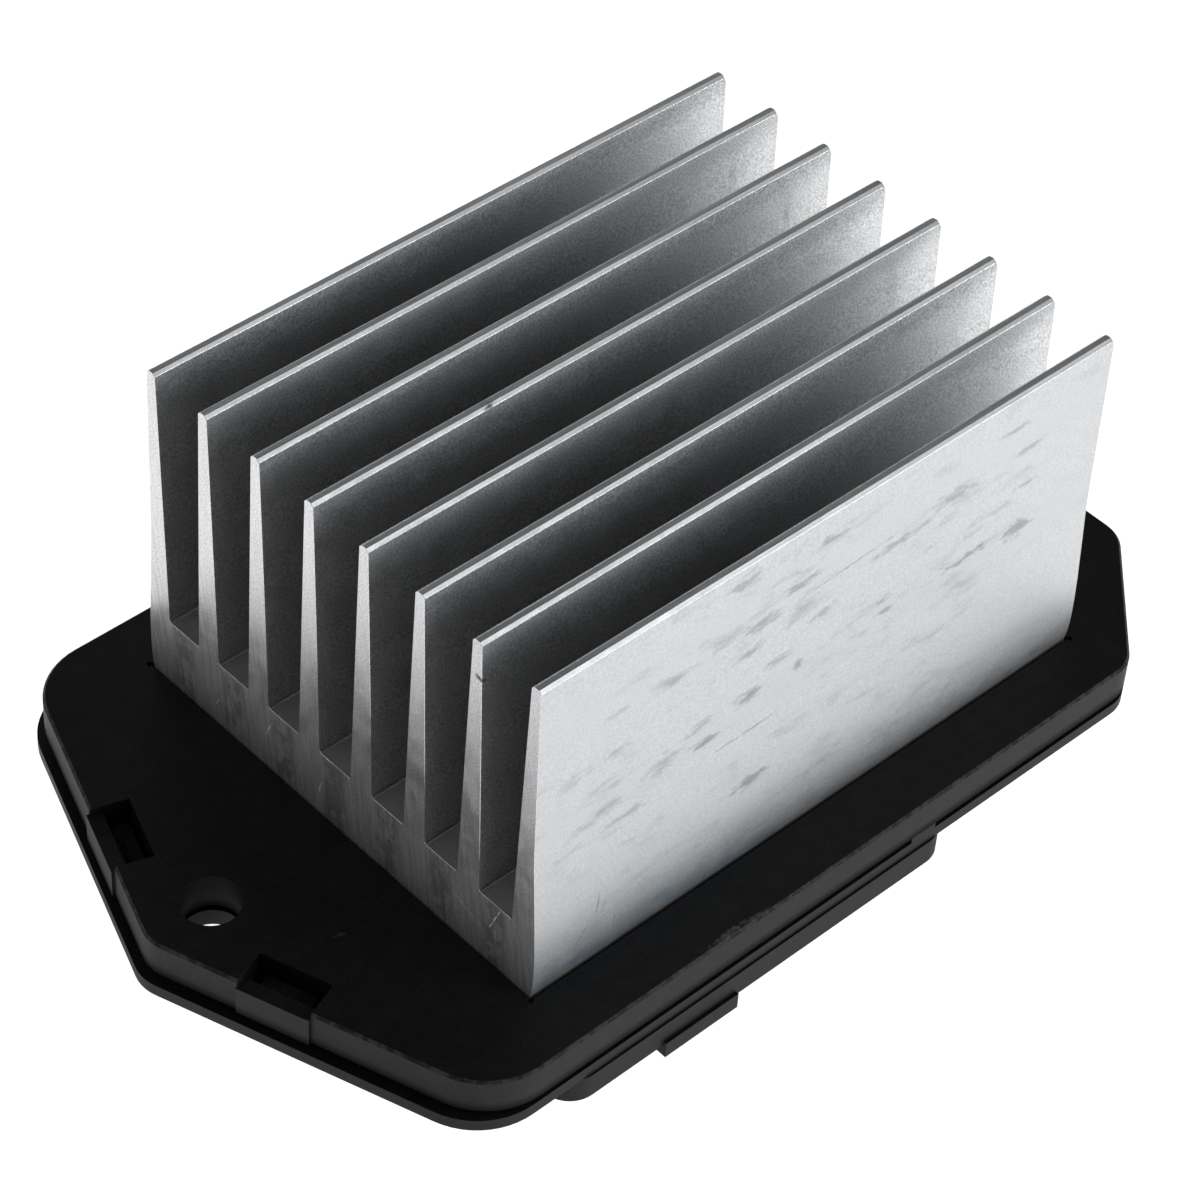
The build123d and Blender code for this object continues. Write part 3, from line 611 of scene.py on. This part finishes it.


# grain over every face, stronger on the channels' walls, painted shade on the walls towards the near end,
# and brushed lines on the narrow tip faces
def sinkGrainAndShade(tree, at, pattern):
    look = sinkLook
    inner, facing, place = at["inner"], at["facing"], at["place"]
    flank = mapRange(tree, pattern["speckle"], look["grainSpan"], look["flankGrain"], smooth=False)
    wall = mapRange(tree, pattern["speckle"], look["grainSpan"], look["wallGrain"], smooth=False)
    grainy = mathNode(tree, "MAXIMUM", inner, mathNode(tree, "MULTIPLY", at["ends"], look["endGrain"]))
    # painted shade: the channels' walls darken towards the near end
    nearEndShade = mapRange(tree, place["X"], look["wallShadeAlong"], look["wallShadeReach"])
    grain = mixFloat(tree, grainy, flank, wall)
    grain = mathNode(tree, "MULTIPLY", grain, mixFloat(tree, inner, 1.0, nearEndShade))
    tips = combine(
        tree, "MULTIPLY",
        mapRange(tree, facing["Z"], look["tipFacing"]),
        mapRange(tree, place["Z"], look["tipHeight"]),
    )
    brushed = mapRange(tree, pattern["die"], look["dieSpan"], look["dieReach"], smooth=False)
    return mathNode(tree, "MULTIPLY", grain, mixFloat(tree, tips, 1.0, brushed))


def sinkRoughness(tree, at, pattern, smears):
    look = sinkLook
    facing = at["facing"]
    under = mapRange(tree, at["place"]["Z"], look["underTipHeight"])
    under = mathNode(tree, "MULTIPLY", at["inner"], under)
    drawn = combine(
        tree, "ADD",
        mathNode(tree, "MULTIPLY", smears, look["smearRoughness"]),
        look["roughness"],
        mathNode(tree, "MULTIPLY", at["low"], look["lowRoughness"]),
        mapRange(tree, pattern["mottle"], look["grainSpan"], look["mottleRoughness"], smooth=False),
        mathNode(tree, "MULTIPLY", under, look["underTips"]),
    )
    sawn = combine(
        tree, "ADD",
        mathNode(tree, "MULTIPLY", pattern["sawLine"], look["lineRoughness"]),
        look["sawnRoughness"],
        mapRange(tree, pattern["cloud"], look["cloudGlossSpan"], look["cloudRoughness"]),
    )
    roughness = mixFloat(tree, at["ends"], drawn, sawn)
    # rounded edges are burnished, the flat chamfers of the tips are not
    widest = combine(tree, "MAXIMUM", *(mathNode(tree, "ABSOLUTE", facing[axis]) for axis in "XYZ"))
    slope = mathNode(tree, "ABSOLUTE", mathNode(tree, "SUBTRACT", facing["Z"], look["chamferFacing"]))
    edge = combine(
        tree, "MULTIPLY",
        mapRange(tree, widest, look["edgeFacing"]),
        mapRange(tree, slope, look["chamferSpan"]),
    )
    return mixFloat(tree, edge, roughness, look["edgeRoughness"])


def makeSinkMaterial():
    look, mark = sinkLook, markLook
    material, tree, shader = newMaterial("extrudedAluminium")
    at = sinkPlaces(tree)
    pattern = sinkPatterns(tree, at["coords"])
    coords, ragged = at["coords"], pattern["ragged"]
    smears = sinkSmears(tree, at, pattern)
    width, strength = mark["endScratchWidth"], mark["endScratchStrength"]
    scratches = addSmudges(tree, coords, ragged, [
        ((mark["end"], y, z), (mark["endDepth"], half, width), (slant, 0, 0), strength)
        for y, z, half, slant in sawnScratches
    ])
    dentShadeMask = addSmudges(tree, coords, ragged, [
        (centre, mark["nickReach"], (0, 0, 0), mark["nickStrength"]) for centre in dentShadeSpots
    ])
    flank = flankTone(tree, at, pattern, smears)
    tone = mixColour(tree, at["ends"], flank, sawnTone(tree, at, pattern, scratches))
    # painted shade in the dents, which are not cut in the mesh
    tone = mixColour(tree, dentShadeMask, tone, look["dentShade"])
    shade = addNode(tree, "ShaderNodeVectorMath", operation="SCALE")
    tree.links.new(tone, shade.inputs[0])
    tree.links.new(sinkGrainAndShade(tree, at, pattern), shade.inputs["Scale"])
    tree.links.new(shade.outputs[0], shader.inputs["Base Color"])
    tree.links.new(sinkRoughness(tree, at, pattern, smears), shader.inputs["Roughness"])
    # a dull skin low on the sawn ends scatters the light
    skin = mapRange(tree, at["place"]["Z"], look["skinHeight"], (0.0, look["dullSkin"]))
    skin = mathNode(tree, "MAXIMUM", skin, mathNode(tree, "MULTIPLY", scratches, look["scratchSkin"]))
    bare = mathNode(tree, "SUBTRACT", 1.0, mathNode(tree, "MULTIPLY", at["ends"], skin))
    tree.links.new(bare, shader.inputs["Metallic"])
    # faint die lines stand up on the drawn faces
    drawn = mathNode(tree, "SUBTRACT", 1.0, at["ends"])
    lines = mathNode(tree, "MULTIPLY", pattern["die"], drawn)
    addBump(tree, shader, lines, look["relief"], look["reliefDepth"])
    arrangeNodes(tree)
    return material


# casing: black moulded plastic, with a fine grain on its upper face and smoother walls
plasticLook = {
    "black": (0.0040, 0.0040, 0.0042),
    "grey": (0.024, 0.024, 0.025),
    "wall": (0.0115, 0.0115, 0.0115),
    "wallSpeck": (0.034, 0.034, 0.034),
    # painted shade, for the plate's foot and the walls inside the latch windows
    "recess": (0.0035, 0.0035, 0.0036),
    "worn": (0.050, 0.050, 0.050),
    "rubbed": (0.10, 0.10, 0.098),
    "levelFacing": (0.6, 0.95),
    "edgeFacing": (0.98, 0.85),
    "grainSize": 4200.0,
    "grainSpan": (0.3, 0.7),
    "dustSpan": (0.50, 0.70),
    "dustShare": 0.45,
    "cloudSpan": (0.35, 0.75),
    "cloudReach": (0.0, 0.16),
    "rubbing": (900.0, 4.0, 0.65),
    "rubbingSpan": (0.40, 0.62),
    "ragged": (2200.0, 4.0, 0.7),
    "topRoughness": 0.60,
    "wallRoughness": 0.50,
    "grainRoughness": (-0.06, 0.08),
    "footRoughness": 0.95,
    "gloss": 0.19,
    "relief": 0.30,
    "reliefDepth": 0.04 * mm,
}
latchWindowShade = [  # centre, reach, turn and strength of the painted shade inside each near window
    ((-43.0, -10.5, -1.5), (2.2, 9.0, 8.0), (0, 0, -24), 0.9),
    ((-43.0, 10.5, -1.5), (2.2, 9.0, 8.0), (0, 0, 24), 0.9),
]
plateScuffs = [  # centre, reach, turn and strength of the rubbed places on the plate's upper face
    ((-12.6, -31.0, 0.0), (2.2, 0.24, 0.5), (0, 0, -3), 0.9),
    ((-9.4, -31.1, 0.0), (1.4, 0.18, 0.5), (0, 0, 4), 0.8),
    ((-50.6, -2.6, 0.0), (0.3, 0.20, 0.5), (0, 0, 30), 0.5),
    ((-37.7, -9.9, 0.0), (0.5, 0.20, 0.5), (0, 0, 20), 0.35),
]
# painted shade: the plate's wall is darkened and rough below the first height and has its full tone above
# the second
plateFootShade = (-3.9 * mm, -2.5 * mm)


def makePlasticMaterial(name, scuffs=(), footShade=None):
    look = plasticLook
    material, tree, shader = newMaterial(name)
    coords, normal = objectCoords(tree)
    grain = placeGroup(tree, grainGroup, Vector=coords, Size=look["grainSize"])
    rise = mathNode(tree, "ABSOLUTE", axesOf(tree, normal)["Z"])
    level = mapRange(tree, rise, look["levelFacing"])
    dust = mapRange(tree, grain["Speckle"], look["dustSpan"])
    cloud = mapRange(tree, grain["Mottle"], look["cloudSpan"], look["cloudReach"])
    pale = mathNode(tree, "ADD", mathNode(tree, "MULTIPLY", dust, look["dustShare"]), cloud, clamp=True)
    top = mixColour(tree, pale, look["black"], look["grey"])
    wall = mixColour(tree, pale, look["wall"], look["wallSpeck"])
    tone = mixColour(tree, level, wall, top)
    # rounded edges are worn in places
    square = mathNode(tree, "MULTIPLY", rise, rise)
    run = mathNode(tree, "SQRT", mathNode(tree, "SUBTRACT", 1.0, square, clamp=True))
    rubbing = noiseOn(tree, coords, *look["rubbing"])
    worn = combine(
        tree, "MULTIPLY",
        mapRange(tree, mathNode(tree, "MAXIMUM", rise, run), look["edgeFacing"]),
        mapRange(tree, rubbing, look["rubbingSpan"]),
    )
    tone = mixColour(tree, worn, tone, look["worn"])
    base = (look["wallRoughness"], look["topRoughness"])
    roughness = mathNode(
        tree, "ADD",
        mapRange(tree, level, (0.0, 1.0), base, smooth=False),
        mapRange(tree, grain["Speckle"], look["grainSpan"], look["grainRoughness"], smooth=False),
    )
    # painted shade towards the wall's lower edge, which is also made rougher there
    if footShade:
        clearOfFootShade = mapRange(tree, axesOf(tree, coords)["Z"], footShade)
        tone = mixColour(tree, clearOfFootShade, look["recess"], tone)
        roughness = mixFloat(tree, clearOfFootShade, look["footRoughness"], roughness)
    # painted shade: the walls inside the latch windows are darkened, as little light reaches into them
    upright = mathNode(tree, "SUBTRACT", 1.0, level)
    smoothOutline = groupLook["raggedMiddle"]
    inside = mathNode(tree, "MULTIPLY", addSmudges(tree, coords, smoothOutline, latchWindowShade), upright)
    tone = mixColour(tree, inside, tone, look["recess"])
    if scuffs:
        rubbed = addSmudges(tree, coords, noiseOn(tree, coords, *look["ragged"]), scuffs)
        tone = mixColour(tree, rubbed, tone, look["rubbed"])
    tree.links.new(tone, shader.inputs["Base Color"])
    tree.links.new(roughness, shader.inputs["Roughness"])
    shader.inputs["Specular IOR Level"].default_value = look["gloss"]
    addBump(tree, shader, grain["Speckle"], look["relief"], look["reliefDepth"])
    arrangeNodes(tree)
    return material


# plain materials for the inner pieces: one tone broken up by grain
plainGrain = {
    "size": 2600.0,
    "mottleSpan": (0.35, 0.7),
    "speckleSpan": (0.3, 0.7),
    "glossier": 0.05,
    "duller": 0.07,
    "relief": 0.15,
    "reliefDepth": 0.02 * mm,
}


def makePlainMaterial(name, tone, dark, roughness, metallic):
    look = plainGrain
    material, tree, shader = newMaterial(name)
    grain = placeGroup(tree, grainGroup, Vector=objectCoords(tree)[0], Size=look["size"])
    mask = mapRange(tree, grain["Mottle"], look["mottleSpan"])
    spread = (roughness - look["glossier"], roughness + look["duller"])
    spread = mapRange(tree, grain["Speckle"], look["speckleSpan"], spread)
    tree.links.new(mixColour(tree, mask, tone, dark), shader.inputs["Base Color"])
    tree.links.new(spread, shader.inputs["Roughness"])
    shader.inputs["Metallic"].default_value = metallic
    addBump(tree, shader, grain["Speckle"], look["relief"], look["reliefDepth"])
    arrangeNodes(tree)
    return material


sinkMaterial = makeSinkMaterial()
frameMaterial = makePlasticMaterial("platePlastic", plateScuffs, plateFootShade)
housingMaterial = makePlasticMaterial("housingPlastic")
plainLooks = {
    "gaskets": ("gasketRubber", (0.02, 0.02, 0.02), (0.035, 0.035, 0.035), 0.7, 0.0),
    "zinc": ("zincPlatedSteel", (0.62, 0.61, 0.58), (0.45, 0.44, 0.42), 0.3, 1.0),
    "tin": ("tinnedBrass", (0.78, 0.74, 0.66), (0.62, 0.55, 0.42), 0.28, 1.0),
    "copper": ("tinnedCopper", (0.80, 0.74, 0.68), (0.70, 0.50, 0.38), 0.3, 1.0),
    "laminate": ("boardLaminate", (0.015, 0.11, 0.045), (0.01, 0.075, 0.03), 0.28, 0.0),
    "moulding": ("mouldedBlack", (0.02, 0.02, 0.021), (0.035, 0.035, 0.036), 0.5, 0.0),
    "film": ("siliconeFilm", (0.42, 0.44, 0.47), (0.35, 0.37, 0.40), 0.6, 0.0),
    "sleeve": ("shrinkSleeve", (0.02, 0.03, 0.08), (0.015, 0.02, 0.06), 0.22, 0.0),
    "fuse": ("lacqueredCase", (0.60, 0.50, 0.28), (0.45, 0.36, 0.18), 0.3, 0.6),
    "shunt": ("resistanceStrip", (0.62, 0.42, 0.30), (0.45, 0.30, 0.22), 0.35, 1.0),
    "tanCeramic": ("tanCeramic", (0.42, 0.30, 0.17), (0.32, 0.22, 0.12), 0.4, 0.0),
    "blackCeramic": ("blackCeramic", (0.02, 0.02, 0.025), (0.05, 0.05, 0.055), 0.25, 0.0),
}
plain = {key: makePlainMaterial(*values) for key, values in plainLooks.items()}

carriedOver = {
    "sealing_gasket": "gaskets",
    "housing_screws": "zinc",
    "circuit_board": "laminate",
    "board_screws": "zinc",
    "transistor_lead_frame": "copper",
    "power_transistor": "moulding",
    "insulating_pad": "film",
    "lock_washer": "zinc",
    "transistor_screw": "zinc",
    "motor_blade_near": "tin",
    "motor_blade_far": "tin",
    "supply_blade": "tin",
    "ground_blade": "tin",
    "signal_pin": "tin",
    "sense_pin": "tin",
    "electrolytic_capacitor": "sleeve",
    "thermal_fuse": "fuse",
    "shunt_resistor": "shunt",
    "control_chip": "moulding",
    "suppressor_diode": "moulding",
    "chip_capacitors": "tanCeramic",
    "chip_resistors": "blackCeramic",
}
for node, look in carriedOver.items():
    slots = nodes[node].data.materials
    slots.clear()
    slots.append(plain[look])
print("materials made")

# the three large pieces, with their edges broken
sinkShape = {
    "brokenEdge": 0.13 * mm,
    "tipEnd": 0.45 * mm,
    "tipDepth": 0.31 * mm,  # how far below the top an edge still belongs to a tip
    "tipSegments": 4,
    "touching": 0.01 * mm,
}

heatSink = mergedCopy("heat_sink", "finnedHeatSink")
roundTipEnds(heatSink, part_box("heat_sink")[1][2], sinkShape)
softenEdges(heatSink, sinkShape["brokenEdge"])
finishPiece(heatSink, sinkMaterial, "heat_sink")
print("heat sink:", len(heatSink.data.polygons), "faces")

plateShape = {"brokenEdge": 0.20 * mm}

plate = mergedCopy("mounting_frame", "mountingPlate")
softenEdges(plate, plateShape["brokenEdge"])
finishPiece(plate, frameMaterial, "mounting_frame")
print("plate:", len(plate.data.polygons), "faces")

housingShape = {"brokenEdge": 0.20 * mm}

housing = mergedCopy("rear_housing", "socketHousing")
softenEdges(housing, housingShape["brokenEdge"])
finishPiece(housing, housingMaterial, "rear_housing")
print("housing:", len(housing.data.polygons), "faces")

# floor, lights, surroundings: the table is the main light, and the room above it stays dark
stageLook = {
    "floorSize": 3.0,
    "floorGap": 0.05 * mm,
    "floorTone": (0.80, 0.80, 0.80),
    "floorRoughness": 0.9,
    "floorGloss": 0.1,
    "floorGlow": 0.95,
    "shadeInset": 6 * mm,  # the shade starts this far inside the object's outline
    "shadeAround": 0.030,  # how far the object's own shade reaches over the table
    "shadeDepth": 0.30,
    "farTone": (1.0, 1.0, 1.0),
    "wallTone": 0.34,  # the room, level with the table
    "ceilingTone": 0.155,
    "ceilingHeight": 0.9,
}


# how far a point of the table lies outside the object's shaded middle
def distanceOutside(tree, coords, inset):
    axes = axesOf(tree, coords)
    squares = []
    for axis, low, high in zip("XY", *cadBox):
        away = mathNode(tree, "ABSOLUTE", mathNode(tree, "SUBTRACT", axes[axis], (low + high) / 2))
        outside = mathNode(tree, "SUBTRACT", away, (high - low) / 2 - inset)
        outside = mathNode(tree, "MAXIMUM", outside, 0.0)
        squares.append(mathNode(tree, "MULTIPLY", outside, outside))
    return mathNode(tree, "SQRT", mathNode(tree, "ADD", *squares))


def makeFloor():
    look = stageLook
    height = cadBox[0][2] - look["floorGap"]
    deselectAll()
    bpy.ops.mesh.primitive_plane_add(size=look["floorSize"], location=(0, 0, height))
    floor = bpy.context.active_object
    floor.name = "studioFloor"
    placeInMesh(floor)
    material, tree, shader = newMaterial("paleFloor")
    shader.inputs["Base Color"].default_value = (*look["floorTone"], 1)
    shader.inputs["Roughness"].default_value = look["floorRoughness"]
    shader.inputs["Specular IOR Level"].default_value = look["floorGloss"]
    shader.inputs["Emission Color"].default_value = (1, 1, 1, 1)
    # the table glows less in the object's shade, and is plain white where it is seen directly
    distance = distanceOutside(tree, objectCoords(tree)[0], look["shadeInset"])
    glow = mapRange(tree, distance, (0.0, look["shadeAround"]), (look["shadeDepth"], 1.0))
    path = addNode(tree, "ShaderNodeLightPath")
    glow = mathNode(tree, "MAXIMUM", glow, path.outputs["Is Camera Ray"])
    glow = mathNode(tree, "MULTIPLY", glow, look["floorGlow"])
    tree.links.new(glow, shader.inputs["Emission Strength"])
    arrangeNodes(tree)
    floor.data.materials.append(material)


# the room is grey to the object and white where it is seen directly
def makeSurroundings():
    look = stageLook
    world = bpy.data.worlds.new("studio")
    bpy.context.scene.world = world
    world.use_nodes = True
    tree = world.node_tree
    tree.nodes.clear()
    path = addNode(tree, "ShaderNodeLightPath")
    seen = addNode(tree, "ShaderNodeBackground")
    seen.inputs["Color"].default_value = (*look["farTone"], 1)
    room = addNode(tree, "ShaderNodeBackground")
    direction = addNode(tree, "ShaderNodeTexCoord")
    height = axesOf(tree, direction.outputs["Generated"])["Z"]
    tones = (look["wallTone"], look["ceilingTone"])
    fade = mapRange(tree, height, (0.0, look["ceilingHeight"]), tones)
    choose = addNode(tree, "ShaderNodeMixShader")
    output = addNode(tree, "ShaderNodeOutputWorld")
    tree.links.new(fade, room.inputs["Strength"])
    tree.links.new(path.outputs["Is Camera Ray"], choose.inputs[0])
    tree.links.new(room.outputs[0], choose.inputs[1])
    tree.links.new(seen.outputs[0], choose.inputs[2])
    tree.links.new(choose.outputs[0], output.inputs["Surface"])
    arrangeNodes(tree)
    bpy.context.scene.view_settings.view_transform = "Standard"


lampLooks = [  # name, direction, distance, width and height, power, colour
    ("rightSoftbox", (0.53, -0.84, 0.17), 0.75, (0.50, 0.14), 0.85, (1.0, 1.0, 1.0)),
    ("keySoftbox", (0.40, -0.74, 0.54), 0.75, (0.26, 0.12), 0.95, (0.90, 0.96, 1.0)),
    ("farSoftbox", (0.51, 0.845, 0.17), 0.75, (0.40, 0.10), 0.45, (1.0, 1.0, 1.0)),
    ("backSoftbox", (-0.70, 0.50, 0.51), 0.80, (0.12, 0.10), 0.40, (1.0, 1.0, 1.0)),
]


def makeLamps():
    for name, towards, distance, size, power, colour in lampLooks:
        lamp = bpy.data.lights.new(name, "AREA")
        lamp.shape = "RECTANGLE"
        lamp.size, lamp.size_y = size
        lamp.energy = power
        lamp.color = colour
        holder = bpy.data.objects.new(name, lamp)
        bpy.context.scene.collection.objects.link(holder)
        direction = Vector(towards).normalized()
        holder.location = direction * distance
        holder.rotation_euler = direction.to_track_quat("Z", "Y").to_euler()


cameraLook = {
    "place": (-174.463 * mm, -171.898 * mm, 246.650 * mm),
    "turn": (45.5275, -2.9780, -42.7542),  # degrees about x, y and z
    "focalPixels": 3845.3,
    "framePixels": 1200.0,
    "centrePixels": (605.8, 613.2),
    "sensor": 36.0,
    "clipStart": 10 * mm,
}


def makeCamera():
    look = cameraLook
    frameSize = look["framePixels"]
    data = bpy.data.cameras.new("photoCamera")
    data.sensor_width = look["sensor"]
    data.sensor_fit = "HORIZONTAL"
    data.lens = look["sensor"] * look["focalPixels"] / frameSize
    data.shift_x = 0.5 - look["centrePixels"][0] / frameSize
    data.shift_y = look["centrePixels"][1] / frameSize - 0.5
    data.clip_start = look["clipStart"]
    holder = bpy.data.objects.new("photoCamera", data)
    bpy.context.scene.collection.objects.link(holder)
    turn = Euler([math.radians(angle) for angle in look["turn"]])
    holder.matrix_world = Matrix.LocRotScale(Vector(look["place"]), turn, None)
    bpy.context.scene.camera = holder


makeFloor()
makeSurroundings()
makeLamps()
makeCamera()
print("stage, lamps and camera placed")
